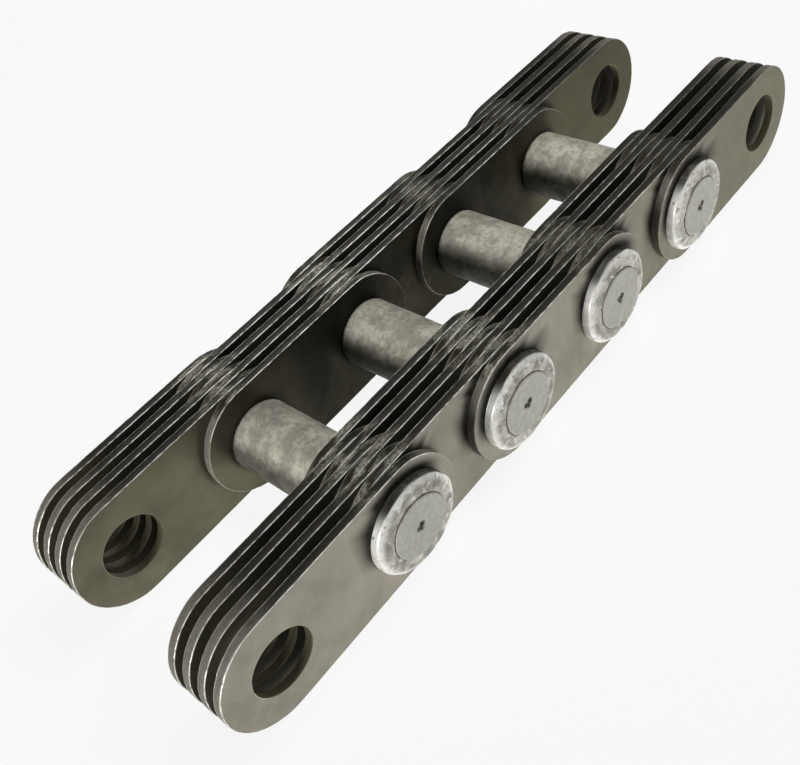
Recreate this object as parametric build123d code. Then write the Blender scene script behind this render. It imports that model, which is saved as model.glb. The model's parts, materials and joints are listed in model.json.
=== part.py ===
"""Heavy double-strand plate chain, a piece of five links, lying straight with its plates on edge.

Each link is a pack of plates on either side of an open middle. The packs of neighbouring links
interleave, and a shouldered cross pin runs through both strands at each joint. The pin's thick
middle keeps the strands apart and carries the sprocket teeth, its two thinner journals carry the
plates, and a washer riveted on each end holds the pack together. The first and last holes are free.

+X runs along the chain, +Y along the pins and +Z up. The origin is on the surface that the chain
lies on, under its middle.
"""
from build123d import *
import os

# Links
pitch = 80.0                # from one pin's axis to the next
link_count = 5
plates_per_side = 4         # plates that one link has in each strand

# Plates
plate_thickness = 4.5
plate_gap = 0.25            # between neighbouring plates in a pack
nose_gap = 16.6             # between the round ends of two plates that follow in one layer
end_swell = 0.4             # how far the end's radius passes half the plate's height
inner_width = 60.0          # clear width between the two strands

# Cross pins
journal_diameter = 32.0
journal_clearance = 0.05    # radial, between a journal and the plates that turn on it
shoulder_height = 2.5       # how far the thick middle stands out from the journals
shoulder_clearance = 0.25   # between a shoulder and the innermost plate
shoulder_chamfer = 0.8
pin_standout = 0.8          # how far the pin's end passes the washer
pin_end_round = 0.6
centre_mark_diameter = 4.0
centre_mark_depth = 1.2

# Washers
washer_gap = 0.3            # between a washer and the outermost plate
washer_thickness = 6.0
washer_ring_width = 9.0     # from its bore to its rim
washer_rim_round = 2.2
washer_countersink = 0.5    # the bevel round the bore on the outer face

# Sizes that follow from these
end_radius = (pitch - nose_gap) / 2
plate_height = 2 * (end_radius - end_swell)
hole_radius = journal_diameter / 2 + journal_clearance
layer_step = plate_thickness + plate_gap
layer_count = 2 * plates_per_side
outer_plate_face = inner_width / 2 + layer_count * layer_step - plate_gap
washer_seat = outer_plate_face + washer_gap
pin_length = 2 * (washer_seat + washer_thickness + pin_standout)
body_length = inner_width - 2 * shoulder_clearance
washer_radius = journal_diameter / 2 + washer_ring_width
axis_height = max(plate_height / 2, washer_radius)
first_hole = -link_count * pitch / 2

SIDES = {"right": -1, "left": 1}


def make_plate():
    """A punched plate, centred on its thickness, with its holes at x = 0 and x = pitch."""
    stadium = SlotCenterToCenter(pitch, 2 * end_radius)
    outline = stadium & Rectangle(pitch + 2 * end_radius, plate_height)
    holes = GridLocations(pitch, 0, 2, 1) * Circle(hole_radius)
    punched = Pos(pitch / 2, 0) * (outline - holes)
    return extrude(Plane.XZ * punched, plate_thickness / 2, both=True)


def make_pin():
    """A shouldered pin along Y: thick middle, two journals, rounded ends with a centre mark."""
    middle = Cylinder(journal_diameter / 2 + shoulder_height, body_length)
    middle = chamfer(middle.edges().filter_by(GeomType.CIRCLE), shoulder_chamfer)
    shank = Cylinder(journal_diameter / 2, pin_length)
    shank = fillet(shank.edges().filter_by(GeomType.CIRCLE), pin_end_round)
    mark = Pos(Z=(pin_length - centre_mark_depth) / 2) * Cone(0, centre_mark_diameter / 2, centre_mark_depth)
    pin = middle + shank - mark - mark.mirror(Plane.XY)
    return Rot(X=90) * pin


def make_washer():
    """A washer along Y with its flat face at y = 0 and its rounded, countersunk face towards +Y."""
    disc = Cylinder(washer_radius, washer_thickness, align=(Align.CENTER, Align.CENTER, Align.MIN))
    disc = fillet(disc.edges().filter_by(GeomType.CIRCLE).sort_by(Axis.Z)[-1], washer_rim_round)
    bore = Cylinder(journal_diameter / 2, washer_thickness, align=(Align.CENTER, Align.CENTER, Align.MIN))
    washer = disc - bore
    mouth = washer.edges().filter_by(GeomType.CIRCLE).group_by(Axis.Z)[-1].sort_by(SortBy.RADIUS)[0]
    return Rot(X=-90) * chamfer(mouth, washer_countersink)


def layer_of(link, plate):
    """The layer of a link's plate, counted from the open middle; plate 1 is the link's outermost."""
    holds_outermost = link % 2 == 1
    return 2 * (plates_per_side - plate) + (1 if holds_outermost else 0)


def link_plates(link):
    """Every plate of one link, with its name."""
    blank = make_plate()
    for side, sign in SIDES.items():
        for plate in range(1, plates_per_side + 1):
            middle = inner_width / 2 + layer_of(link, plate) * layer_step + plate_thickness / 2
            place = Pos(first_hole + (link - 1) * pitch, sign * middle, axis_height)
            yield f"link_{link}_{side}_plate_{plate}", place * blank


def pin_set(joint):
    """One cross pin and the washers riveted on its ends, with their names."""
    place = Pos(first_hole + joint * pitch, 0, axis_height)
    yield f"cross_pin_{joint}", place * make_pin()
    left_washer = Pos(Y=washer_seat) * make_washer()
    yield f"washer_{joint}_left", place * left_washer
    yield f"washer_{joint}_right", place * left_washer.mirror(Plane.XZ)


def save(name, shape):
    """Write one piece to its own file."""
    shape.label = name
    export_step(shape, f"parts/{name}.step")


def main():
    os.makedirs("parts", exist_ok=True)
    for link in range(1, link_count + 1):
        for name, plate in link_plates(link):
            save(name, plate)
    for joint in range(1, link_count):
        for name, piece in pin_set(joint):
            save(name, piece)


main()
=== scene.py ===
"""Worn steel for a heavy double-strand plate chain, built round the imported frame.

Every plate, pin and washer of the frame is replaced by a surface worked out with numpy: sheared
and tumbled plates, shouldered pins with a punched centre mark, and hammered washers. A studio with
a pale floor and the photograph's camera goes round them.
"""
import json
import math

import bpy
import numpy as np
from bpy.props import FloatProperty, FloatVectorProperty, IntProperty, PointerProperty
from mathutils import Matrix, Vector


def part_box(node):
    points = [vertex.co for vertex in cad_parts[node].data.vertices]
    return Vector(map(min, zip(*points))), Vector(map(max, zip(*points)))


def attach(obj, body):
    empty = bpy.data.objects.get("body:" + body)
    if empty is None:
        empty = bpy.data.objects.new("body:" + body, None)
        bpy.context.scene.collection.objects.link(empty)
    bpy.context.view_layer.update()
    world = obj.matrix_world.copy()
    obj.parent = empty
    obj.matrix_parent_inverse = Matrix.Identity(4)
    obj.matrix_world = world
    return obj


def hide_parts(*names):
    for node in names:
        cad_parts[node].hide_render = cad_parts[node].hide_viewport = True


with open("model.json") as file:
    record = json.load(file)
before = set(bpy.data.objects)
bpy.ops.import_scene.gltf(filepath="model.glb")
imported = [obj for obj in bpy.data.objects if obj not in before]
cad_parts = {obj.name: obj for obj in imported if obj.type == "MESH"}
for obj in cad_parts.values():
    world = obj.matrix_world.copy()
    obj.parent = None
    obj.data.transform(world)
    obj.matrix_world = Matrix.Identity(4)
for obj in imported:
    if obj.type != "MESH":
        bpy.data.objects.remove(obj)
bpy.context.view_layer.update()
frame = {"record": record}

bl_info = {
    "name": "Plate Chain Steel",
    "version": (1, 0, 0),
    "blender": (4, 5, 0),
    "location": "3D View > Sidebar > Plate Chain",
    "description": "Dresses the packed frame of a plate chain in worn steel",
    "category": "Add Mesh",
}

MM = 0.001


def middle_of(node):
    """The middle of a node's box."""
    low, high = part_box(node)
    return (low + high) / 2


def mount_radius(name):
    """The radius of a bore that the record declares as a mount."""
    for mount in frame["record"]["mounts"]:
        if mount["name"] == name:
            return mount["dims"]["r_mm"] * MM
    raise RuntimeError(f"the record has no mount named {name}")


PITCH = middle_of("cross_pin_2").x - middle_of("cross_pin_1").x
HOLE_RADIUS = mount_radius("near_end_bore")
PLATE_LOW, PLATE_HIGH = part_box("link_1_right_plate_1")
END_RADIUS = middle_of("cross_pin_1").x - PITCH - PLATE_LOW.x
HALF_HEIGHT = (PLATE_HIGH.z - PLATE_LOW.z) / 2
THICKNESS = PLATE_HIGH.y - PLATE_LOW.y
PIN_LOW, PIN_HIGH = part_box("cross_pin_1")
PIN_HALF_LENGTH = PIN_HIGH.y
SHOULDER_RADIUS = (PIN_HIGH.z - PIN_LOW.z) / 2
WASHER_LOW, WASHER_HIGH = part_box("washer_1_left")
WASHER_RADIUS = (WASHER_HIGH.z - WASHER_LOW.z) / 2
WASHER_THICKNESS = WASHER_HIGH.y - WASHER_LOW.y
LINKS = 5
PLATES_PER_SIDE = 4             # in one link; plate 1 is the outermost
CORNER_REACH = 7 * MM           # over which the plate's faint corners are softened
JOINTS_END = 2 * PITCH          # further from the chain's middle, the nearest hole is a free one
RUBBED_END = 1.95 * PITCH       # where oil and scuffs round the last joints stop


# Sizes and colours that a user would change

def length(name, description, default):
    """A property for a length, given in metres."""
    return FloatProperty(name=name, description=description, default=default, min=0.0,
                         precision=5, subtype="DISTANCE", unit="LENGTH")


def colour(name, description, default):
    """A property for a colour."""
    return FloatVectorProperty(name=name, description=description, default=default, size=3,
                               min=0.0, max=1.0, subtype="COLOR")


def rotation(name, description, degrees):
    """A property for an angle."""
    return FloatProperty(name=name, description=description, default=math.radians(degrees),
                         subtype="ANGLE", unit="ROTATION")


def power(name, description, watts):
    """A property for a lamp's power."""
    return FloatProperty(name=name, description=description, default=watts, subtype="POWER",
                         unit="POWER")


class PlateFinish(bpy.types.PropertyGroup):
    """How a punched plate is cut and worn."""
    roll_width: length("Roll width", "Rounding of the cut corner, across the face", 0.45 * MM)
    roll_depth: length("Roll depth", "Rounding of the cut corner, down the wall", 0.55 * MM)
    break_depth: length("Break depth", "How far the torn part of the wall lies back", 0.09 * MM)
    hole_lip: length("Hole lip", "Rounding of the hole's corners", 0.45 * MM)
    nick_depth: length("Nick depth", "Deepest nick in a corner", 0.22 * MM)
    face_colour: colour("Face", "Rolled and oiled face", (0.252, 0.236, 0.194))
    # Darker tone that the faces take towards the far end
    far_end_colour: colour("Oil", "Film of old oil, thicker towards the far end", (0.072, 0.068, 0.036))
    # Painted shade inside the pack and the open middle, and painted shadow round washers and ends
    shade_and_grime_colour: colour("Grime", "Old oil inside the channel", (0.009, 0.0085, 0.006))
    cut_colour: colour("Cut wall", "Sheared wall under its scale", (0.16, 0.152, 0.125))
    # Painted shade on the walls that face up
    top_shade_colour: colour("Top", "Oiled wall that faces up", (0.016, 0.0138, 0.0078))
    bore_colour: colour("Bore", "Oiled wall of a hole", (0.085, 0.079, 0.048))
    rust_colour: colour("Rust", "Old rust bloom on the cut wall", (0.105, 0.078, 0.060))
    scuff_colour: colour("Scuff", "Wall rubbed near the joints", (0.62, 0.61, 0.48))
    worn_colour: colour("Worn corner", "Steel rubbed bright", (0.88, 0.86, 0.79))


class PinFinish(bpy.types.PropertyGroup):
    """How a cross pin is turned and marked."""
    journal_radius: length("Journal radius", "Radius of the two thinner ends", 16.0 * MM)
    body_half: length("Half middle", "Half the length of the thick middle", 29.75 * MM)
    end_round: length("End round", "Rounding of the ends", 0.6 * MM)
    dish: length("Dish", "How far the end is dished inside its rim", 0.16 * MM)
    mark_depth: length("Mark depth", "Depth of the punched centre mark", 1.2 * MM)
    body_colour: colour("Middle", "Turned and oiled middle", (0.475, 0.46, 0.378))
    end_colour: colour("End", "Bare end", (0.38, 0.375, 0.33))
    # Darker colour for the pin's groove and centre mark and the washers' groove and pits, and painted
    # shade on the pin's lower near side and the washers' upper walls
    shade_and_grime_colour: colour("Grime", "Old oil in hollows", (0.038, 0.035, 0.024))


class WasherFinish(bpy.types.PropertyGroup):
    """How a washer is hammered on."""
    bore_radius: length("Bore radius", "Radius of the bore", 16.0 * MM)
    rim_round: length("Rim round", "Rounding of the front rim", 2.9 * MM)
    countersink: length("Countersink", "Bevel round the bore", 0.35 * MM)
    dent_depth: length("Dent depth", "Depth of the hammer's dents", 0.26 * MM)
    dents: IntProperty(name="Dents", description="Hammer dents on one washer", default=110, min=0)
    face_colour: colour("Face", "Hammered face", (0.375, 0.366, 0.318))
    rim_colour: colour("Rim", "Rubbed front rim", (0.86, 0.85, 0.81))
    wall_colour: colour("Wall", "Outer wall", (0.86, 0.85, 0.80))


class StudioSettings(bpy.types.PropertyGroup):
    """The camera, the lamps and the floor."""
    camera_place: FloatVectorProperty(
        name="Camera", description="Where the camera stands", size=3, subtype="TRANSLATION",
        unit="LENGTH", precision=4, default=(-0.2569, -0.2797, 0.3649))
    camera_heading: rotation(
        "Heading", "Camera's side of the chain, from its right-hand strand", -36.25)
    camera_height: rotation("Elevation", "How steeply the camera looks down", 45.0)
    camera_roll: rotation("Roll", "Turn of the camera about its own line of sight", -18.43)
    lens: FloatProperty(name="Lens", description="Focal length for a 36 mm wide sensor",
                        default=42.9, min=1.0, subtype="DISTANCE_CAMERA")
    table_power: power("Table", "Lamp under the light table, at the right", 62.0)
    end_power: power("End", "Lamp at the near end", 85.0)
    top_power: power("Top", "Lamp above the chain", 9.0)
    back_power: power("Back", "Lamp behind the left-hand strand", 28.0)
    ambient: FloatProperty(name="Ambient", description="Light of the room", default=0.010, min=0.0)
    floor_colour: colour("Floor", "Pale floor", (0.86, 0.86, 0.85))


# Shapes as whole arrays

def waves(points, size, seed, count=28):
    """A smooth random field from -1 to 1: the sum of sine waves in random directions, whose
    wavelengths lie between 0.6 and 1.7 of size, over the square root of their number."""
    draw = np.random.default_rng(seed)
    heading = draw.normal(size=(count, points.shape[1]))
    heading /= np.linalg.norm(heading, axis=1, keepdims=True)
    heading *= 2 * math.pi / (size * draw.uniform(0.6, 1.7, (count, 1)))
    phase = draw.uniform(0, 2 * math.pi, count)
    return np.clip(np.sin(points @ heading.T + phase).sum(1) / math.sqrt(count), -1, 1)


def dents(points, centres, radii, depths):
    """Overlapping round hollows: the deepest of depth * (1 - (distance / radius) squared) squared
    at each point, and nothing outside a hollow's radius."""
    distance = np.linalg.norm(points[:, None, :] - centres[None], axis=2) / radii
    bowl = np.clip(1 - distance ** 2, 0, None) ** 2 * depths
    return bowl.max(1)


def smoothstep(value, low, high):
    """0 below low, 1 above high, and a smooth cubic between."""
    share = np.clip((value - low) / (high - low), 0, 1)
    return share * share * (3 - 2 * share)


def ring_faces(rows, columns):
    """Quads between neighbouring rows of a grid whose last column joins its first."""
    row = np.arange(rows - 1)[:, None] * columns
    here = np.arange(columns)[None]
    after = (here + 1) % columns
    return np.stack([row + here, row + after, row + columns + after, row + columns + here],
                    axis=-1).reshape(-1, 4)


def weld(points, faces, values):
    """Makes one point of those that coincide, and keeps the first one's values."""
    _, first, index = np.unique(np.round(points / MM, 5), axis=0, return_index=True,
                                return_inverse=True)
    return points[first], index.reshape(-1)[faces], {k: v[first] for k, v in values.items()}


def mesh_piece(name, points, faces, values, material):
    """A smooth-shaded object at the origin from arrays of points and faces. Each entry of values
    becomes a point attribute that the material reads."""
    mesh = bpy.data.meshes.new(name)
    mesh.from_pydata(points.tolist(), [], faces, shade_flat=False)
    for key, value in values.items():
        attribute = mesh.attributes.new(key, "FLOAT", "POINT")
        attribute.data.foreach_set("value", value.astype(np.float32))
    mesh.materials.append(material)
    mesh.validate()
    piece = bpy.data.objects.new(name, mesh)
    bpy.context.scene.collection.objects.link(piece)
    return piece


def plate_outline():
    """Half of the plate's outline in x and z round the hole at x = 0: the upper side from mid
    pitch, the arc of END_RADIUS where it lies within HALF_HEIGHT, and the lower side back to mid
    pitch. Where side and arc meet at an angle, the corner is cut by the parabola that touches both
    CORNER_REACH away from it. With it go the outward normals, square to the outline's slope."""
    side_steps, arc_steps = 44, 72
    kink = -math.sqrt(END_RADIUS ** 2 - HALF_HEIGHT ** 2)
    side = np.linspace(PITCH / 2, kink, side_steps + 1)
    turn = math.atan2(HALF_HEIGHT, kink)
    angle = np.linspace(turn, math.pi, arc_steps // 2 + 1)[1:]
    bend = turn - math.pi / 2
    ahead = np.clip(CORNER_REACH - (side - kink), 0, None)
    side_cut = bend * ahead ** 2 / (4 * CORNER_REACH)
    ahead = np.clip(CORNER_REACH - (angle - turn) * END_RADIUS, 0, None)
    arc_cut = bend * ahead ** 2 / (4 * CORNER_REACH)
    upper = np.stack([side, HALF_HEIGHT - side_cut], 1)
    arc = (END_RADIUS - arc_cut)[:, None] * np.stack([np.cos(angle), np.sin(angle)], 1)
    quarter = np.concatenate([upper, arc])
    points = np.concatenate([quarter, quarter[-2::-1] * [1, -1]])
    slope = np.gradient(points, axis=0)
    normals = np.stack([slope[:, 1], -slope[:, 0]], 1)
    normals[0], normals[-1] = [0, 1], [0, -1]
    return points, normals / np.linalg.norm(normals, axis=1, keepdims=True)


def rim_profile(finish):
    """The plate's outer wall from front face to back face: offset from the outline and depth from
    the front. A quarter ellipse rolls over the corner, a bright band runs square to the face, the
    torn part lies back by break_depth, and a small burr is rubbed off at the back."""
    turn = np.radians([0, 14, 28, 42, 56, 72, 90])
    roll = np.stack([-finish.roll_width * (1 - np.sin(turn)),
                     finish.roll_depth * (1 - np.cos(turn))], 1)
    share = np.array([[0.0, 0.30], [0.7, 0.40], [1.0, 0.52], [1.0, 0.66], [1.0, 0.80], [0.5, 0.92]])
    wall = share * [-finish.break_depth, THICKNESS]
    burr = np.array([[-0.07 * MM, THICKNESS - 0.12 * MM], [-0.17 * MM, THICKNESS - 0.03 * MM],
                     [-0.32 * MM, THICKNESS]])
    profile = np.concatenate([roll, wall, burr])
    cut = np.array([0, 0, 0.1, 0.3, 0.6, 0.9, 1, 1, 1, 1, 1, 1, 1, 0.7, 0.3, 0])
    worn = np.array([0, 0.35, 0.9, 1, 0.85, 0.35, 0.04, 0, 0, 0, 0, 0, 0.05, 0.5, 0.6, 0])
    return profile, cut, worn


def bore_profile(finish):
    """The hole's wall from front face to back face: offset outward from the hole and depth, with a
    quarter circle of hole_lip at each corner, half as large at the back."""
    turn = np.radians([0, 30, 60, 90])
    front = finish.hole_lip * np.stack([1 - np.sin(turn), 1 - np.cos(turn)], 1)
    back = finish.hole_lip / 2 * np.stack([1 - np.sin(turn[::-1]), np.cos(turn[::-1]) - 1], 1)
    wall = np.array([[0.02 * MM, THICKNESS * 0.45], [0.04 * MM, THICKNESS * 0.75]])
    profile = np.concatenate([front, wall, back + [0, THICKNESS]])
    cut = np.array([0, 0.4, 0.9, 1, 1, 1, 1, 0.8, 0.4, 0])
    worn = np.array([0, 0.15, 0.12, 0, 0, 0, 0, 0.1, 0.1, 0])
    return profile, cut, worn


def plate_surface(finish):
    """A whole plate with its holes at x = 0 and x = PITCH, its front at y = 0 and its back at
    y = THICKNESS. The rim profile is carried along the closed outline. Each half's faces and hole
    are one ring of grid: from the rim straight in to the hole, through it, and out again. The half
    at x = PITCH is the mirror of the first, and the halves meet at mid pitch."""
    outline, normal = plate_outline()
    rim, rim_cut, rim_worn = rim_profile(finish)
    bore, bore_cut, bore_worn = bore_profile(finish)

    half = outline[None] + normal[None] * rim[:, :1, None]
    half = np.dstack([half[..., 0], np.broadcast_to(rim[:, 1:], half.shape[:2]), half[..., 1]])
    mirrored = half[:, ::-1] * [-1, 1, 1] + [PITCH, 0, 0]
    loop = np.concatenate([half, mirrored[:, 1:-1]], 1)
    rows, columns = loop.shape[:2]
    points = [loop.reshape(-1, 3)]
    faces = [ring_faces(rows, columns)[:, ::-1]]
    cut = [np.repeat(rim_cut, columns)]
    worn = [np.repeat(rim_worn, columns)]
    in_bore = [np.zeros(rows * columns)]

    seam_steps = 18
    inward = np.array([0, 0.02, 0.3, 0.68, 0.975])
    ring = []
    for edge, place in ((half[0], inward), (half[-1], inward[::-1])):
        seam_height = np.linspace(edge[-1, 2], edge[0, 2], seam_steps + 1)[1:-1]
        seam = np.stack([np.full_like(seam_height, PITCH / 2), np.full_like(seam_height, edge[0, 1]),
                         seam_height], 1)
        border = np.concatenate([edge, seam])
        heading = border[:, [0, 2]] / np.linalg.norm(border[:, [0, 2]], axis=1, keepdims=True)
        lip = HOLE_RADIUS + (bore[0, 0] if edge is half[0] else bore[-1, 0])
        rim_to_lip = border[None] + place[:, None, None] * (
            np.stack([lip * heading[:, 0], border[:, 1], lip * heading[:, 1]], 1) - border)[None]
        ring.append(rim_to_lip)
    through = (HOLE_RADIUS + bore[:, :1, None]) * heading[None]
    through = np.dstack([through[..., 0], np.broadcast_to(bore[:, 1:], through.shape[:2]),
                         through[..., 1]])
    ring = np.concatenate([ring[0], through, ring[1]])
    rows, columns = ring.shape[:2]
    still = np.zeros(len(inward))
    quads = ring_faces(rows, columns)
    for part, order in ((ring, quads), (ring * [-1, 1, 1] + [PITCH, 0, 0], quads[:, ::-1])):
        faces.append(order + sum(len(p) for p in points))
        points.append(part.reshape(-1, 3))
        cut.append(np.repeat(np.concatenate([still, bore_cut, still]), columns))
        worn.append(np.repeat(np.concatenate([still, bore_worn, still]), columns))
        in_bore.append(np.repeat(np.concatenate([still, bore_cut, still]), columns))
    return weld(np.concatenate(points), np.concatenate(faces),
                {"cut": np.concatenate(cut), "worn": np.concatenate(worn),
                 "bore": np.concatenate(in_bore)})


def wear_plate(points, values, finish, seed):
    """Nicks, torn grain and a faint unevenness on a plate's surface, as moves along y and towards
    the plate's middle line. The moves only take material away."""
    draw = np.random.default_rng(seed)
    centre = np.clip(points[:, 0], 0, PITCH)
    away = points[:, [0, 2]] - np.stack([centre, np.zeros_like(centre)], 1)
    reach = np.linalg.norm(away, axis=1, keepdims=True)
    away /= np.maximum(reach, MM)
    on_rim = reach[:, 0] > (HOLE_RADIUS + HALF_HEIGHT) / 2
    torn = values["cut"] * on_rim * (points[:, 1] > THICKNESS * 0.33)
    torn = torn * (points[:, 1] < THICKNESS - 0.1 * MM)
    depth = torn * 0.06 * MM * (1 + waves(points * [1, 0.5, 1], 3.2 * MM, seed + 1))
    corner = values["worn"] * on_rim
    ragged = np.clip(waves(points, 5 * MM, seed + 2), 0, None) * 0.07 * MM
    nick_count = 26
    angle = draw.uniform(0, 2 * math.pi, nick_count)
    along = draw.uniform(0, 1, nick_count)
    nick_x = np.where(along < 0.6, draw.uniform(0, PITCH, nick_count),
                      np.where(along < 0.8, END_RADIUS * np.cos(angle / 2 + math.pi / 2),
                               PITCH + END_RADIUS * np.sin(angle / 2)))
    beyond = np.clip(np.abs(nick_x - PITCH / 2) - PITCH / 2, 0, END_RADIUS)
    nick_z = np.sign(draw.uniform(-1, 1, nick_count)) * np.sqrt(END_RADIUS ** 2 - beyond ** 2)
    nick_y = draw.choice([0.0, THICKNESS], nick_count)
    nicks = dents(points, np.stack([nick_x, nick_y, nick_z], 1),
                  draw.uniform(1.0, 2.6, nick_count) * MM,
                  draw.uniform(0.3, 1.0, nick_count) * finish.nick_depth)
    depth = depth + corner * ragged + nicks * on_rim
    moved = points.copy()
    moved[:, [0, 2]] -= away * depth[:, None]
    faced = 1 - np.clip(values["cut"] * 2, 0, 1)
    swell = 0.012 * MM * (1 + waves(points[:, [0, 2]], 26 * MM, seed + 3))
    side = np.where(points[:, 1] < THICKNESS / 2, 1, -1)
    moved[:, 1] += side * faced * swell
    return moved


def turned(profile, steps, start_point=None, end_point=None):
    """A profile of radius and place along y, carried round the y axis in equal steps. A start or
    end point closes the surface there with a fan of triangles."""
    angle = np.linspace(0, 2 * math.pi, steps, endpoint=False)
    around = np.stack([np.cos(angle), np.sin(angle)])
    height = np.broadcast_to(profile[:, 1:], (len(profile), steps))
    points = np.stack([profile[:, :1] * around[0], height, profile[:, :1] * around[1]],
                      -1).reshape(-1, 3)
    quads = ring_faces(len(profile), steps)
    here = np.arange(steps)
    after = (here + 1) % steps
    caps = []
    if start_point is not None:
        caps.append(np.stack([np.full(steps, len(points)), after, here], 1))
        points = np.concatenate([points, [[0, start_point, 0]]])
    if end_point is not None:
        last = (len(profile) - 1) * steps
        caps.append(np.stack([np.full(steps, len(points)), last + here, last + after], 1))
        points = np.concatenate([points, [[0, end_point, 0]]])
    return points, quads, caps


def arc_points(centre, radius, start, end, steps):
    """Points of radius and y on an arc from one angle to another, in degrees."""
    angle = np.radians(np.linspace(start, end, steps + 1))
    return np.array(centre) + radius * np.stack([np.cos(angle), np.sin(angle)], 1)


def line_points(start, end, steps):
    """Points on a straight stretch of a profile, without its last one."""
    return np.array(start) + np.linspace(0, 1, steps, endpoint=False)[:, None] * (
        np.array(end) - np.array(start))


def pin_surface(finish, seed):
    """A pin along y: its profile from one end's middle over the end's rounding, a journal, the
    shoulder, the thick middle and back again, carried round the axis. The ends are dished inside
    their rims, and three overlapping pits make each centre mark. Painted shade lies on the thick
    middle's side that looks down and to the near end, and on its shoulders."""
    radius, half, body = finish.journal_radius, PIN_HALF_LENGTH, finish.body_half
    chamfer = 0.8 * MM
    round_off = finish.end_round
    end = np.concatenate([
        line_points((0.22 * MM, half), (5.5 * MM, half), 17),
        line_points((5.5 * MM, half), (radius - round_off, half), 14),
        arc_points((radius - round_off, half - round_off), round_off, 90, 0, 6)])
    step_up = np.concatenate([
        line_points((radius, half - 2 * MM), (radius, body), 3),
        line_points((radius, body), (SHOULDER_RADIUS - chamfer, body), 3),
        [[SHOULDER_RADIUS - chamfer * 0.9, body],
         [SHOULDER_RADIUS - chamfer * 0.45, body - chamfer * 0.4],
         [SHOULDER_RADIUS, body - chamfer]]])
    thick = line_points((SHOULDER_RADIUS, body - 1.2 * chamfer), (SHOULDER_RADIUS, 0), 34)
    upper = np.concatenate([end, step_up, thick])
    lower = (upper * [1, -1])[::-1]
    profile = np.concatenate([upper, [[SHOULDER_RADIUS, 0.0]], lower])
    points, quads, caps = turned(profile, 160, start_point=half, end_point=-half)
    across = points[:, [0, 2]]
    reach = np.linalg.norm(across, axis=1)
    sign = np.sign(points[:, 1])
    on_end = (np.abs(points[:, 1]) > half - round_off * 1.01).astype(float)
    draw = np.random.default_rng(seed)
    sink = np.zeros(len(points))
    mark = np.zeros(len(points))
    for side in (-1, 1):
        here = on_end * (sign == side)
        lean = draw.uniform(0.2, 0.9)
        turn = lean + np.array([0, 2.3, 4.1])
        centres = np.stack([np.cos(turn), np.sin(turn)], 1) * 1.5 * MM * draw.uniform(0.8, 1.15, (3, 1))
        pits = dents(across, centres, np.array([2.3, 2.0, 1.7]) * MM,
                     np.array([1.0, 0.85, 0.7]) * finish.mark_depth)
        lip = dents(across, centres, np.array([3.8, 3.2, 3.0]) * MM, np.array([0.1, 0.12, 0.12]) * MM)
        bowl = finish.dish * (1 - smoothstep(reach, 0.78 * radius, 0.93 * radius))
        ripple = 0.035 * MM * waves(across, 6.5 * MM, seed + 5 + side)
        knocks = 0.10 * MM * np.clip(waves(across, 3.5 * MM, seed + 9 + side) - 0.7, 0, 1)
        inner = 1 - smoothstep(reach, 0.90 * radius, 0.99 * radius)
        sink += here * (pits + np.clip(bowl + (ripple + knocks) * inner - lip * (pits < 1e-5), 0, None))
        mark += here * smoothstep(pits, 0.01 * MM, 0.30 * finish.mark_depth)
    points[:, 1] -= sign * sink
    on_body = (reach > SHOULDER_RADIUS - 0.3 * chamfer).astype(float)
    turning = 0.05 * MM * (1 + waves(points * [1, 0.6, 1], 9 * MM, seed + 20))
    points[:, [0, 2]] *= (1 - on_body * turning / np.maximum(reach, MM))[:, None]
    groove = smoothstep(half - np.abs(points[:, 1]), 0.35 * MM, 0.75 * MM) * (reach < 1.01 * radius)
    groove *= reach > 0.9 * radius
    # Painted shade: the middle's side that looks down and to the near end, and a ring at each shoulder
    down_and_near = -(0.86 * points[:, 0] + 0.50 * points[:, 2]) / SHOULDER_RADIUS
    shoulder = smoothstep(np.abs(points[:, 1]), body - 1.7 * MM, body - 0.6 * MM)
    values = {"end": on_end, "mark": mark, "groove": groove,
              "darkened": smoothstep(down_and_near, 0.12, 0.68) * on_body,
              "shoulder": shoulder * on_body}
    return points, quads.tolist() + [f for cap in caps for f in cap.tolist()], values


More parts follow.
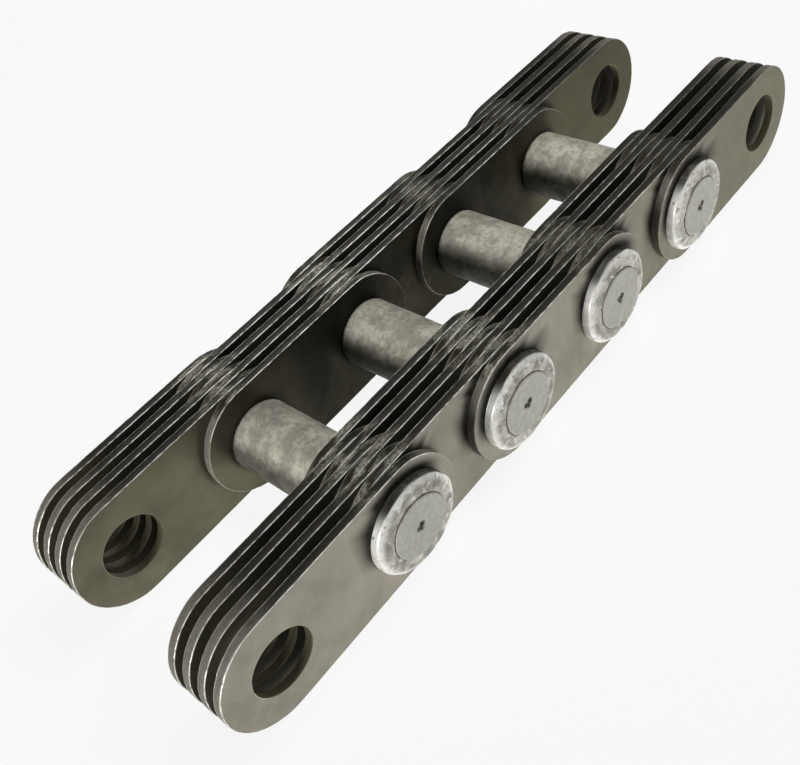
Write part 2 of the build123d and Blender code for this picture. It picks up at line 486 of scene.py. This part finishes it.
def washer_surface(finish, seed):
    """A washer whose flat back lies at y = 0 and whose face looks towards +y: the closed profile
    of its section carried round the axis. The hammer's dents sink the face, which slopes down to
    an unevenly beaten rim, with radial chatter next to it. The rim is rubbed bright, in a band
    made narrower on the upper side as painted shade, where the wall behind it takes painted shade."""
    outer, bore, thick = WASHER_RADIUS, finish.bore_radius, WASHER_THICKNESS
    round_off, back_round, bevel = finish.rim_round, 0.5 * MM, finish.countersink
    profile = np.concatenate([
        line_points((bore, 0), (outer - back_round, 0), 4),
        arc_points((outer - back_round, back_round), back_round, -90, 0, 3),
        line_points((outer, back_round * 1.4), (outer, thick - round_off), 9),
        arc_points((outer - round_off, thick - round_off), round_off, 0, 90, 10)[:-1],
        line_points((outer - round_off, thick), (bore + bevel, thick), 22),
        line_points((bore + bevel, thick), (bore, thick - bevel), 4),
        line_points((bore, thick - bevel), (bore, 0), 3),
        [[bore, 0]]])[:-1]
    steps = 240
    points, quads, _ = turned(np.concatenate([profile, profile[:1]]), steps)
    count = len(profile) * steps
    quads = np.where(quads >= count, quads - count, quads)[:, ::-1]
    points = points[:count]
    across = points[:, [0, 2]]
    reach = np.linalg.norm(across, axis=1)
    height = points[:, 1] / thick
    draw = np.random.default_rng(seed)
    place = draw.uniform(0, 2 * math.pi, finish.dents)
    out = np.sqrt(draw.uniform(0.45, 1.0, finish.dents)) * outer
    spots = np.stack([out * np.cos(place), np.full(finish.dents, thick), out * np.sin(place)], 1)
    hammered = dents(points, spots, draw.uniform(1.3, 3.6, finish.dents) * MM,
                     draw.uniform(0.25, 1.0, finish.dents) * finish.dent_depth)
    angle = np.arctan2(across[:, 1], across[:, 0])
    lobes = np.stack([np.cos(angle), np.sin(angle)], 1) * outer
    beaten = 0.20 * MM * (1 + waves(lobes, 18 * MM, seed + 1))
    beaten = beaten + 0.07 * MM * (1 + waves(points, 5 * MM, seed + 2))
    rim = smoothstep(reach, outer - 1.5 * round_off, outer)
    chatter = 0.5 + 0.5 * np.sin(angle * 74 + 2.5 * waves(lobes, 20 * MM, seed + 3))
    band = smoothstep(reach, 0.74 * outer, 0.84 * outer)
    band = band * (1 - smoothstep(reach, 0.90 * outer, 0.95 * outer))
    patch = np.clip(waves(lobes, 40 * MM, seed + 4), 0, 1)
    front = smoothstep(height, 0.55, 0.98)
    slope = 0.75 * MM * smoothstep(reach, 0.68 * outer, 1.02 * outer) ** 2
    uneven = 0.05 * MM * (1 + waves(across, 7 * MM, seed + 6))
    points[:, 1] -= front * (hammered + slope + uneven + 0.07 * MM * chatter * band * patch)
    squeeze = rim * (height > 0.02) * (beaten + 0.6 * hammered)
    points[:, [0, 2]] *= (1 - squeeze / reach)[:, None]
    # Painted shade on the wall's upper side, with a narrower bright rim there
    shaded = smoothstep(0.26 * np.cos(angle) + 0.97 * np.sin(angle), 0.42, 0.78)
    bright = smoothstep(height, 0.40 + 0.28 * shaded, 0.82 + 0.15 * shaded)
    wall = rim * (1 - bright)
    upper = shaded * (1 - smoothstep(height, 0.62, 0.82))
    values = {"wall": wall, "rim": rim * bright, "darkened": wall * upper,
              "groove": 1 - smoothstep(reach, bore + 0.2 * bevel, bore + 1.9 * bevel),
              "hammered": hammered / max(finish.dent_depth, 1e-9)}
    return points, quads.tolist(), values


# Materials

class NodeTree:
    """The nodes of a material or a world in the making."""

    def __init__(self, owner):
        self.owner = owner
        self.owner.use_nodes = True
        self.tree = owner.node_tree
        self.tree.nodes.clear()

    def add(self, kind, inputs=(), **settings):
        """One node with its settings. Inputs pairs a socket's name or number with a value or link."""
        node = self.tree.nodes.new(kind)
        for key, value in settings.items():
            setattr(node, key, value)
        for key, value in dict(inputs).items():
            if isinstance(value, bpy.types.NodeSocket):
                self.tree.links.new(value, node.inputs[key])
            else:
                node.inputs[key].default_value = value
        return node

    def between(self, value, low, high, to_low=0.0, to_high=1.0):
        """The value's place between low and high, smoothed, as a number from to_low to to_high."""
        return self.add("ShaderNodeMapRange", {
            "Value": value, "From Min": low, "From Max": high, "To Min": to_low,
            "To Max": to_high}, interpolation_type="SMOOTHSTEP").outputs["Result"]

    def math(self, operation, first, second=0.0):
        """One sum on two numbers."""
        return self.add("ShaderNodeMath", {0: first, 1: second}, operation=operation).outputs[0]

    def seen_as_background(self):
        """1 for rays that show the background: from the camera, in a gloss or through glass."""
        rays = self.add("ShaderNodeLightPath").outputs
        seen = self.math("MAXIMUM", rays["Is Camera Ray"], rays["Is Glossy Ray"])
        return self.math("MAXIMUM", seen, rays["Is Transmission Ray"])

    def mix_shaders(self, share, first, second):
        """The output of two shader nodes, with a share of the second."""
        return self.add("ShaderNodeMixShader", {
            0: share, 1: first.outputs[0], 2: second.outputs[0]}).outputs[0]


class Steel(NodeTree):
    """A worn steel in the making. Each method adds its nodes and returns their output."""

    def __init__(self, name):
        super().__init__(bpy.data.materials.new(name))
        self.place = self.add("ShaderNodeTexCoord").outputs["Object"]

    def stretched(self, scale, turn=(0, 0, 0)):
        """Object coordinates, turned and scaled."""
        return self.add("ShaderNodeMapping", {"Vector": self.place, "Scale": scale,
                                              "Rotation": turn}).outputs[0]

    def noise(self, size, detail=3.0, roughness=0.55, vector=None, distortion=0.0):
        """Noise whose features are about size metres across."""
        return self.add("ShaderNodeTexNoise", {
            "Vector": vector or self.place, "Scale": 1 / size, "Detail": detail,
            "Roughness": roughness, "Distortion": distortion}).outputs["Fac"]

    def attribute(self, name):
        """A number stored on the piece's points."""
        return self.add("ShaderNodeAttribute", attribute_name=name).outputs["Fac"]

    def mix(self, share, first, second, blend_type="MIX"):
        """A colour between two others."""
        colours = [(*c, 1.0) if not isinstance(c, bpy.types.NodeSocket) else c for c in (first, second)]
        node = self.add("ShaderNodeMix", data_type="RGBA", blend_type=blend_type)
        for socket, value in zip((node.inputs[0], node.inputs[6], node.inputs[7]), (share, *colours)):
            if isinstance(value, bpy.types.NodeSocket):
                self.tree.links.new(value, socket)
            else:
                socket.default_value = value
        return node.outputs[2]

    def varied(self, value, low, high, colour_value, dark, light):
        """A colour, dark times itself where the value is low and light times where it is high."""
        return self.mix(self.between(value, low, high), shade(colour_value, dark),
                        shade(colour_value, light))

    def stained(self, base, value, low, high, most, stain):
        """A colour with a stain over it, whose share rises with the value from none to most."""
        return self.mix(self.between(value, low, high, 0, most), base, stain)

    def patchy(self, name, value, low, high, to_low, to_high):
        """A number stored on the points, times one that goes with the value."""
        return self.math("MULTIPLY", self.attribute(name),
                         self.between(value, low, high, to_low, to_high))

    def blend(self, share, first, second):
        """A number between two others."""
        return self.add("ShaderNodeMix", {0: share, 2: first, 3: second},
                        data_type="FLOAT").outputs[0]

    def bump(self, height, distance, strength=1.0, normal=None):
        """A bump of the given height in metres."""
        inputs = {"Height": height, "Distance": distance, "Strength": strength}
        if normal is not None:
            inputs["Normal"] = normal
        return self.add("ShaderNodeBump", inputs).outputs[0]

    def finish(self, base, roughness, normal, metallic, specular=0.5):
        """The shader and the output node. Returns the material."""
        shader = self.add("ShaderNodeBsdfPrincipled", {
            "Base Color": base, "Roughness": roughness, "Normal": normal, "Metallic": metallic,
            "Specular IOR Level": specular})
        self.add("ShaderNodeOutputMaterial", {"Surface": shader.outputs[0]})
        return self.owner


def shade(colour_value, factor):
    """A colour made darker or lighter."""
    return tuple(min(1.0, c * factor) for c in colour_value)


def plate_steel(finish):
    """Rolled plate with clouded oil on its faces, speckled torn walls and corners rubbed bright in
    places. The faces grow darker towards the far end. Painted shade lies inside the pack, on the
    side walls of the open middle and on the tops, and painted shadow round the washers, the round
    ends and the pin shoulders. The tops are scuffed near the joints."""
    steel = Steel("plate_steel_worn")
    layered = steel.stretched((1, 5, 1))
    cloud = steel.noise(34 * MM, 4, 0.55, layered, 0.4)
    mottle = steel.noise(6 * MM, 5, 0.6, layered)
    grain = steel.noise(0.55 * MM, 3, 0.6)
    drawn = steel.noise(1.1 * MM, 4, 0.6, steel.stretched((0.06, 2, 1)))
    face = steel.varied(cloud, 0.32, 0.70, finish.face_colour, 0.80, 1.13)
    face = steel.stained(face, mottle, 0.42, 0.75, 0.30, shade(finish.face_colour, 1.25))
    face = steel.stained(face, drawn, 0.55, 0.85, 0.22, shade(finish.face_colour, 0.55))
    along = steel.add("ShaderNodeSeparateXYZ", {0: steel.place}).outputs[0]
    # The faces grow darker towards the far end
    toward_far_end = steel.math("ADD", steel.between(along, -0.5 * PITCH, 2.9 * PITCH, 0, 0.62),
                      steel.between(cloud, 0.3, 0.7, -0.05, 0.05))
    face = steel.mix(toward_far_end, face, finish.far_end_colour)
    # Painted shade, tinted olive, inside the pack and on the side walls of the open middle
    inside = steel.attribute("inside")
    shade_tint = (1.0, 0.975, 0.72)
    face = steel.mix(inside, face, shade_tint, "MULTIPLY")
    pack_shade_share = steel.math("MULTIPLY", inside, steel.between(cloud, 0.2, 0.7, 1.03, 0.92))
    face = steel.mix(pack_shade_share, face, finish.shade_and_grime_colour)
    speckle = steel.noise(1.3 * MM, 5, 0.72)
    streak = steel.noise(1.3 * MM, 3, 0.6, steel.stretched((0.25, 1.6, 1)))
    # Painted shadow: crescents beside the washers and round ends, and rings round the pin shoulders
    painted_shadow = steel.patchy("painted_shadow", mottle, 0.3, 0.6, 0.85, 1.0)
    face = steel.mix(painted_shadow, face, finish.shade_and_grime_colour)
    wall = steel.varied(speckle, 0.36, 0.66, finish.cut_colour, 0.80, 1.12)
    wall = steel.stained(wall, streak, 0.5, 0.72, 0.30, shade(finish.cut_colour, 0.45))
    rust = steel.noise(9 * MM, 3, 0.6, layered)
    wall = steel.stained(wall, rust, 0.50, 0.68, 0.6, finish.rust_colour)
    # Painted shade on the walls that face up
    wall = steel.stained(wall, steel.attribute("upward"), 0.92, 1.0, 0.95, finish.top_shade_colour)
    rubbed = steel.between(steel.noise(8 * MM, 3, 0.55, steel.stretched((0.6, 1.8, 1))), 0.43, 0.66)
    scuff = steel.math("MULTIPLY", steel.attribute("scuff"), rubbed)
    fleck = steel.noise(1.2 * MM, 5, 0.72, steel.stretched((0.8, 1.3, 1)))
    wall = steel.mix(scuff, wall, steel.varied(fleck, 0.36, 0.74, finish.scuff_colour, 0.15, 0.95))
    wall = steel.mix(steel.attribute("bore"), wall, finish.bore_colour)
    cut = steel.attribute("cut")
    base = steel.mix(cut, face, wall)
    worn = steel.attribute("worn")
    broken = steel.between(steel.noise(3.2 * MM, 4, 0.62, layered), 0.34, 0.58, 0.22, 1.0)
    bright = steel.math("MULTIPLY", worn, broken)
    base = steel.mix(bright, base, finish.worn_colour)
    rough_face = steel.between(mottle, 0.3, 0.75, 0.56, 0.42)
    rough = steel.blend(cut, rough_face, 0.62)
    rough = steel.blend(bright, rough, 0.34)
    normal = steel.bump(grain, 0.010 * MM, 0.5)
    normal = steel.bump(drawn, 0.012 * MM, 0.5, normal)
    gritty = steel.math("MULTIPLY", speckle, steel.math("SUBTRACT", cut, steel.attribute("bore")))
    normal = steel.bump(gritty, 0.10 * MM, 0.7, normal)
    metal = steel.between(bright, 0.0, 1.0, 0.0, 0.85)
    return steel.finish(base, rough, normal, metal, 0.06)


def pin_steel(finish):
    """Turned pin with blotches of old oil on its middle, painted shade on the middle's lower near
    side and at its shoulders, a bare end, and a darker groove and centre mark."""
    steel = Steel("pin_steel_worn")
    cloud = steel.noise(9 * MM, 5, 0.62)
    fine = steel.noise(2.9 * MM, 5, 0.66)
    specks = steel.noise(1.1 * MM, 3, 0.6)
    turning = steel.noise(0.5 * MM, 3, 0.6, steel.stretched((0.15, 1, 0.15)))
    rubbed = steel.noise(1.6 * MM, 3, 0.6, steel.stretched((1, 0.25, 1), (0.5, 0, 0)))
    body = steel.varied(cloud, 0.38, 0.62, finish.body_colour, 0.70, 1.15)
    body = steel.stained(body, fine, 0.46, 0.64, 0.50, shade(finish.body_colour, 0.45))
    body = steel.stained(body, rubbed, 0.55, 0.75, 0.40, shade(finish.body_colour, 0.40))
    body = steel.stained(body, specks, 0.62, 0.72, 0.75, shade(finish.body_colour, 0.16))
    # Painted shade on the middle's lower near side
    body = steel.mix(steel.patchy("darkened", cloud, 0.35, 0.6, 1.0, 0.88), body, finish.shade_and_grime_colour)
    tip = steel.varied(fine, 0.35, 0.72, finish.end_colour, 0.90, 1.10)
    end = steel.attribute("end")
    base = steel.mix(end, body, tip)
    hollow = steel.math("MAXIMUM", steel.attribute("groove"), steel.attribute("mark"))
    uneven = steel.between(steel.noise(1.8 * MM, 3), 0.35, 0.6, 0.50, 1.0)
    base = steel.mix(steel.math("MULTIPLY", hollow, uneven), base, finish.shade_and_grime_colour)
    # Painted shade: a dark ring at each shoulder
    base = steel.mix(steel.math("MULTIPLY", steel.attribute("shoulder"), uneven), base,
                     shade(finish.body_colour, 0.06))
    rough = steel.between(cloud, 0.3, 0.7, 0.68, 0.56)
    normal = steel.bump(turning, 0.012 * MM, 0.5)
    normal = steel.bump(fine, 0.035 * MM, 0.6, normal)
    return steel.finish(base, rough, normal, 0.45)


def washer_steel(finish, shade_and_grime):
    """Hammered washer: light face with darker hollows, bright rubbed rim, light wall with painted
    shade on its upper side, and a darker groove next to the pin."""
    steel = Steel("washer_steel_worn")
    blotch = steel.noise(7 * MM, 5, 0.6, distortion=0.4)
    fine = steel.noise(1.2 * MM, 4, 0.65)
    face = steel.varied(blotch, 0.36, 0.62, finish.face_colour, 0.58, 1.22)
    face = steel.stained(face, fine, 0.50, 0.74, 0.22, shade(finish.face_colour, 0.55))
    wall = steel.varied(blotch, 0.36, 0.64, finish.wall_colour, 0.78, 1.12)
    # Painted shade on the wall's upper side
    wall = steel.mix(steel.patchy("darkened", blotch, 0.3, 0.6, 0.90, 1.0), wall, shade_and_grime)
    base = steel.mix(steel.attribute("wall"), face, wall)
    base = steel.mix(steel.patchy("rim", fine, 0.3, 0.6, 0.55, 1.0), base, finish.rim_colour)
    hollow = shade(finish.face_colour, 0.6)
    base = steel.stained(base, steel.attribute("hammered"), 0.30, 0.9, 0.45, hollow)
    base = steel.mix(steel.patchy("groove", blotch, 0.3, 0.6, 0.55, 1.0), base, shade_and_grime)
    broad = steel.noise(16 * MM, 3, 0.55)
    base = steel.stained(base, broad, 0.52, 0.70, 0.30, shade(finish.face_colour, 0.5))
    fleck = steel.between(steel.noise(3.4 * MM, 4, 0.6), 0.56, 0.68, 0, 0.6)
    fleck = steel.math("MULTIPLY", fleck, steel.math("SUBTRACT", 1.0, steel.attribute("wall")))
    base = steel.mix(fleck, base, finish.rim_colour)
    pit = steel.noise(2.9 * MM, 2, 0.5, steel.stretched((1, 1.1, 1)))
    base = steel.stained(base, pit, 0.66, 0.72, 0.6, shade_and_grime)
    rough = steel.between(blotch, 0.3, 0.7, 0.50, 0.36)
    normal = steel.bump(fine, 0.03 * MM, 0.6)
    normal = steel.bump(steel.noise(0.4 * MM, 2), 0.008 * MM, 0.5, normal)
    return steel.finish(base, rough, normal, 0.45, 0.15)


# Painted shade and shadow, and rubbing, on the plates

def painted_contact_shadow(off_x, off_z, link, plate_number):
    """Painted shadow on a plate's face, from 0 to 1, at places counted from the nearest hole's axis.
    On a link's outermost plates it is a crescent above and to the near end of the washer, or of the
    next link's round end, widest above and fading over 4 mm. On the plates next to the open middle
    it is a thin ring of painted shade round the pin's shoulder."""
    reach = np.maximum(np.hypot(off_x, off_z), MM)
    if plate_number == 1:
        edge = WASHER_RADIUS if link % 2 else END_RADIUS
        upper_near = (0.96 * off_z - 0.29 * off_x) / reach
        crescent = 1 - smoothstep(reach - edge - 4.5 * MM * (upper_near - 0.35), 0.8 * MM, 4.8 * MM)
        return 0.97 * crescent * smoothstep(upper_near, -0.12, 0.50)
    if plate_number == PLATES_PER_SIDE and link % 2 == 0:
        return 0.95 * (1 - smoothstep(reach - SHOULDER_RADIUS, 0.4 * MM, 2.6 * MM))
    return np.zeros_like(reach)


def rubbed_share(worn, upward, along, off_x, plate_number):
    """How far a plate's corners are rubbed bright: most where they face up or at the chain's ends,
    less at the oily far joints, little beyond the last joint, and over a wider band on the near
    end of its outermost plates."""
    at_end = smoothstep(np.abs(along), 2.5 * PITCH, 2.72 * PITCH)
    handled = np.maximum(smoothstep(upward, 0.55, 0.92), at_end)
    far_link = smoothstep(along, 1.55 * PITCH, 1.9 * PITCH)
    far_joint = smoothstep(along, -0.3 * PITCH, 0.7 * PITCH) * (along < RUBBED_END)
    darkened = far_joint * (1 - smoothstep(np.abs(off_x), 10 * MM, 30 * MM))
    near_front = at_end * (along < 0) * (plate_number == 1)
    dulled = (1 - 0.65 * far_link) * (1 - 0.48 * darkened)
    return worn ** (1 - 0.6 * near_front) * (0.25 + 0.75 * handled) * dulled


def painted_pack_shade(inward, along, plate_number):
    """How far a plate's faces take painted shade: not at all on the outward face of a link's
    outermost plates, well inside the pack, fully on the side walls of the open middle, and less
    towards the chain's ends."""
    from_middle = np.abs(along)
    in_channel = 1.0 - 0.42 * smoothstep(np.abs(along + 0.1 * PITCH), 1.1 * PITCH, 1.8 * PITCH)
    at_end = 1 - 0.28 * smoothstep(from_middle, 2.1 * PITCH, 2.5 * PITCH)
    outward_share = (0, 0.72, 0.88, 0.88)[plate_number - 1]
    inward_share = in_channel if plate_number == PLATES_PER_SIDE else 0.88 * at_end
    return np.where(inward, inward_share, outward_share * at_end)


def dressed_plate(surface, finish, material, link, side, plate_number):
    """One plate, worn by its own seed, in place of its node. Its scuffs, its rubbed corners, how
    far it faces up, and its painted shade and painted shadow are stored on its points for the material."""
    node = f"link_{link}_{side}_plate_{plate_number}"
    points, faces, values = surface
    seed = 1000 * link + 100 * plate_number + (7 if side == "right" else 3)
    shaped = wear_plate(points, values, finish, seed)
    low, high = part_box(node)
    middle_y, middle_z = (low.y + high.y) / 2, (low.z + high.z) / 2
    shaped = shaped + [low.x + END_RADIUS, low.y, middle_z]
    along, height = shaped[:, 0], shaped[:, 2]
    off_x = ((along - middle_of("cross_pin_1").x) / PITCH + 0.5) % 1 * PITCH - PITCH / 2
    scuff = (1 - smoothstep(np.abs(off_x), 6 * MM, 26 * MM)) * (height > 0.8 * high.z)
    scuff *= (1 - 0.9 * smoothstep(along, -0.9 * PITCH, 1.5 * PITCH)) * (np.abs(along) < RUBBED_END)
    upward = smoothstep(height - middle_z, 0, HALF_HEIGHT)
    # Less up-facing share on the end arcs, which trims the tops' painted shade there
    upward -= 0.08 * smoothstep(np.abs(along), 2.25 * PITCH, 2.68 * PITCH)
    inward = (shaped[:, 1] - middle_y) * (1 if side == "right" else -1) > 0
    # Painted shadow beside the washers, round ends and pin shoulders
    painted_shadow = painted_contact_shadow(off_x, height - middle_z, link, plate_number) * (np.abs(along) < JOINTS_END)
    worn = rubbed_share(values["worn"], upward, along, off_x, plate_number)
    marks = {**values, "worn": worn, "scuff": scuff, "upward": upward, "painted_shadow": painted_shadow,
             "inside": painted_pack_shade(inward, along, plate_number)}
    piece = mesh_piece(f"punched_plate_{link}_{side}_{plate_number}", shaped, faces.tolist(), marks,
                       material)
    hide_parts(node)
    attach(piece, f"link_{link}")


# Operators for the pieces

class CHAIN_OT_punched_plates(bpy.types.Operator):
    """Replace the plates of all five links by sheared and worn ones"""
    bl_idname = "chain.punched_plates"
    bl_label = "Punched plates"

    def execute(self, context):
        finish = context.scene.chain_plates
        material = plate_steel(finish)
        surface = plate_surface(finish)
        for link in range(1, LINKS + 1):
            for side in ("right", "left"):
                for number in range(1, PLATES_PER_SIDE + 1):
                    dressed_plate(surface, finish, material, link, side, number)
        return {"FINISHED"}


class CHAIN_OT_cross_pins(bpy.types.Operator):
    """Replace the cross pins by turned ones with punched centre marks"""
    bl_idname = "chain.cross_pins"
    bl_label = "Cross pins"

    def execute(self, context):
        finish = context.scene.chain_pins
        material = pin_steel(finish)
        for joint in range(1, LINKS):
            node = f"cross_pin_{joint}"
            points, faces, values = pin_surface(finish, 40 + 11 * joint)
            piece = mesh_piece(f"turned_pin_{joint}", points + np.array(middle_of(node)), faces,
                               values, material)
            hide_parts(node)
            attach(piece, f"pin_{joint}")
        return {"FINISHED"}


class CHAIN_OT_riveted_washers(bpy.types.Operator):
    """Replace the washers by hammered ones"""
    bl_idname = "chain.riveted_washers"
    bl_label = "Riveted washers"

    def execute(self, context):
        finish = context.scene.chain_washers
        material = washer_steel(finish, context.scene.chain_pins.shade_and_grime_colour)
        for joint in range(1, LINKS):
            for side, sign in (("right", -1), ("left", 1)):
                node = f"washer_{joint}_{side}"
                points, faces, values = washer_surface(finish, 300 + 20 * joint + sign)
                if sign < 0:
                    points = points * [1, -1, 1]
                    faces = [face[::-1] for face in faces]
                low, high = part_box(node)
                seat = high.y if sign < 0 else low.y
                points = points + [middle_of(node).x, seat, middle_of(node).z]
                piece = mesh_piece(f"hammered_washer_{joint}_{side}", points, faces, values, material)
                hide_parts(node)
                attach(piece, f"pin_{joint}")
        return {"FINISHED"}


# The studio, its panel and the registration

def area_lamp(name, power, width, height, place, target):
    """A soft rectangular lamp at a place, turned to a target."""
    data = bpy.data.lights.new(name, "AREA")
    data.shape = "RECTANGLE"
    data.energy = power
    data.size, data.size_y = width, height
    lamp = bpy.data.objects.new(name, data)
    towards = Vector(place) - Vector(target)
    lamp.location = place
    lamp.rotation_euler = towards.to_track_quat("Z", "Y").to_euler()
    bpy.context.scene.collection.objects.link(lamp)
    return lamp


def pale_world(ambient):
    """A room that lights evenly and shows white walls under a darker ceiling."""
    room = NodeTree(bpy.data.worlds.new("pale_room"))
    place = room.add("ShaderNodeTexCoord").outputs["Generated"]
    height = room.add("ShaderNodeSeparateXYZ", {0: place}).outputs["Z"]
    wall_to_ceiling = room.between(height, 0.20, 0.65, 1.0, 0.5)
    lit = room.add("ShaderNodeBackground", {"Color": (1, 1, 1, 1), "Strength": ambient})
    shown = room.add("ShaderNodeBackground", {"Color": (1, 1, 1, 1), "Strength": wall_to_ceiling})
    chosen = room.mix_shaders(room.seen_as_background(), lit, shown)
    room.add("ShaderNodeOutputWorld", {"Surface": chosen})
    bpy.context.scene.world = room.owner


def pale_floor(tint):
    """A floor that shows nearly white and takes the soft shadow of the lamps above. It throws no
    shadow itself, so that the lamp of the light table shines through it."""
    reach, depth, glow_share = 6.0, 0.05 * MM, 0.88
    points = np.array([[x, y, -depth] for x in (-reach, reach) for y in (-reach, reach)])
    nodes = NodeTree(bpy.data.materials.new("pale_floor"))
    matt = nodes.add("ShaderNodeBsdfDiffuse", {"Color": (*tint, 1)})
    glow = nodes.add("ShaderNodeEmission", {"Color": (1, 1, 1, 1), "Strength": 1.0})
    share = nodes.math("MULTIPLY", nodes.seen_as_background(), glow_share)
    nodes.add("ShaderNodeOutputMaterial", {"Surface": nodes.mix_shaders(share, matt, glow)})
    floor = mesh_piece("studio_floor", points, [[0, 2, 3, 1]], {}, nodes.owner)
    floor.visible_shadow = False


def photo_camera(studio):
    """The photograph's camera: it looks back along its heading and elevation, then rolls."""
    turn, rise = studio.camera_heading, studio.camera_height
    back = Vector((math.sin(turn) * math.cos(rise), -math.cos(turn) * math.cos(rise), math.sin(rise)))
    right = Vector((math.cos(turn), math.sin(turn), 0))
    basis = Matrix((right, back.cross(right), back)).transposed()
    data = bpy.data.cameras.new("photo_camera")
    data.lens = studio.lens
    data.clip_start = 0.01
    camera = bpy.data.objects.new("photo_camera", data)
    turned_basis = basis @ Matrix.Rotation(studio.camera_roll, 3, "Z")
    camera.matrix_world = Matrix.Translation(studio.camera_place) @ turned_basis.to_4x4()
    bpy.context.scene.collection.objects.link(camera)
    bpy.context.scene.camera = camera


class CHAIN_OT_studio(bpy.types.Operator):
    """Set up the pale studio with the photograph's camera"""
    bl_idname = "chain.studio"
    bl_label = "Studio"

    def execute(self, context):
        studio = context.scene.chain_studio
        pale_world(studio.ambient)
        pale_floor(studio.floor_colour)
        aim = (0.0, 0.0, 0.03)
        area_lamp("end_lamp", studio.end_power, 0.8, 0.6, (-2.95, -0.24, 0.42), aim)
        area_lamp("top_lamp", studio.top_power, 0.5, 0.5, (0.55, -0.10, 1.20), aim)
        area_lamp("back_lamp", studio.back_power, 0.8, 0.4, (1.00, 2.15, 0.35), aim)
        below = area_lamp("light_table", studio.table_power, 1.1, 1.1, (0.62, -1.27, -1.50), aim)
        below.data.cycles.use_multiple_importance_sampling = False
        below.visible_glossy = False
        photo_camera(studio)
        context.scene.view_settings.view_transform = "Standard"
        return {"FINISHED"}


class CHAIN_PT_steps(bpy.types.Panel):
    """The steps that dress the chain, in order"""
    bl_idname = "CHAIN_PT_steps"
    bl_label = "Plate chain"
    bl_space_type = "VIEW_3D"
    bl_region_type = "UI"
    bl_category = "Plate Chain"

    def draw(self, context):
        for step in STEPS:
            self.layout.operator(step.bl_idname)


STEPS = (CHAIN_OT_studio, CHAIN_OT_punched_plates, CHAIN_OT_cross_pins, CHAIN_OT_riveted_washers)
GROUPS = {"chain_plates": PlateFinish, "chain_pins": PinFinish, "chain_washers": WasherFinish,
          "chain_studio": StudioSettings}


def register():
    for cls in (*GROUPS.values(), *STEPS, CHAIN_PT_steps):
        bpy.utils.register_class(cls)
    for name, group in GROUPS.items():
        setattr(bpy.types.Scene, name, PointerProperty(type=group))


def unregister():
    for name in GROUPS:
        delattr(bpy.types.Scene, name)
    for cls in (CHAIN_PT_steps, *reversed(STEPS), *reversed(list(GROUPS.values()))):
        bpy.utils.unregister_class(cls)


def main():
    """Dress the frame."""
    register()
    bpy.ops.chain.studio()
    bpy.ops.chain.punched_plates()
    bpy.ops.chain.cross_pins()
    bpy.ops.chain.riveted_washers()


if __name__ == "__main__":
    main()
